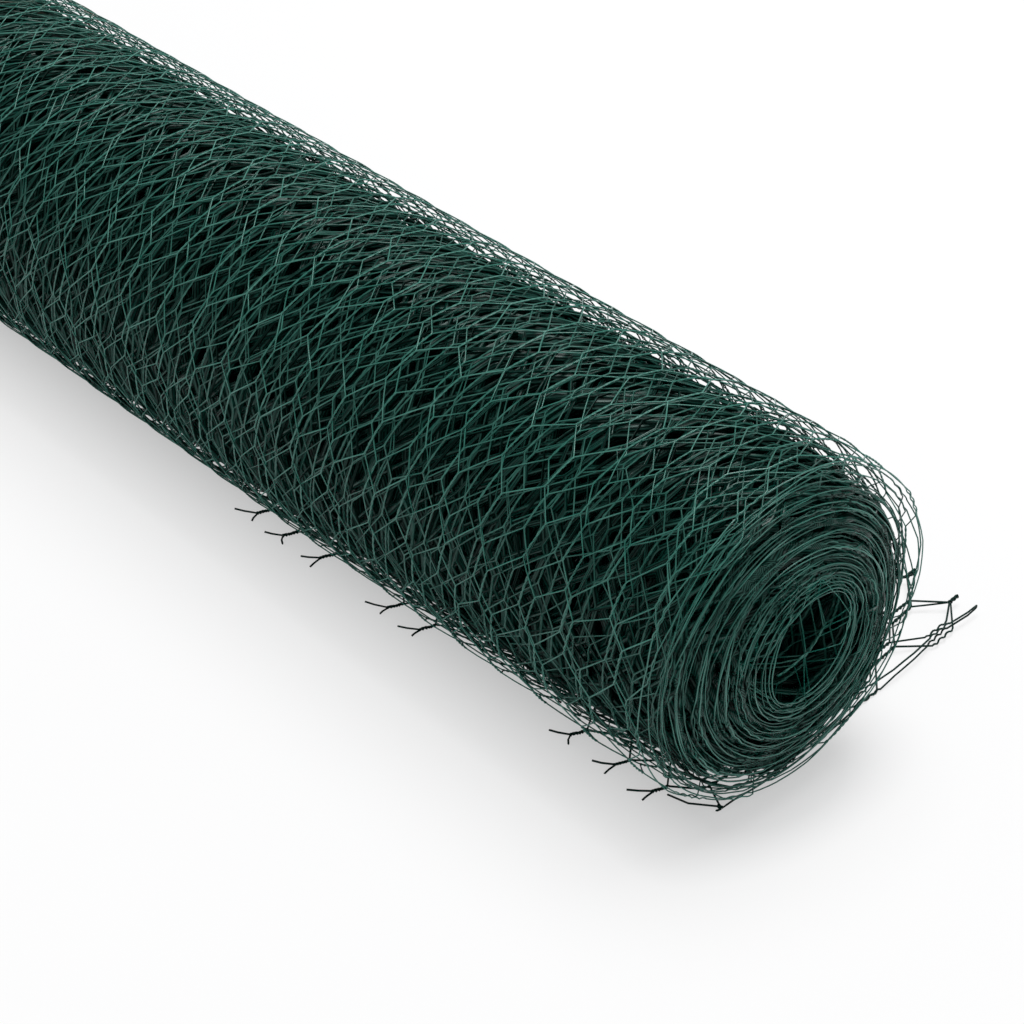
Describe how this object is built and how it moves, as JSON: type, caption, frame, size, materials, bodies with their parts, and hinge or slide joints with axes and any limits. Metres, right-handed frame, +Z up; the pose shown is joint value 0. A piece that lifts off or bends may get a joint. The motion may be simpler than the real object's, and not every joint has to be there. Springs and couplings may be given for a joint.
{
  "type": "roll of hexagonal wire netting",
  "caption": "Roll of green plastic-coated hexagonal wire netting lying on its side, wound round an open hollow, its loose end folded back under it with cut wire ends",
  "frame": {"origin": "on the floor below the roll's axis, at the middle of the netting's width at the outermost turn", "axes": "+X along the roll's axis towards the end whose inner turns stand out, +Y towards the fold in the loose end, +Z up"},
  "size_m": [0.947, 0.252, 0.1712],
  "materials": {
    "coated_wire": "satin"
  },
  "bodies": {
    "root": {"netting_roll": "coated_wire"}
  },
  "joints": []
}
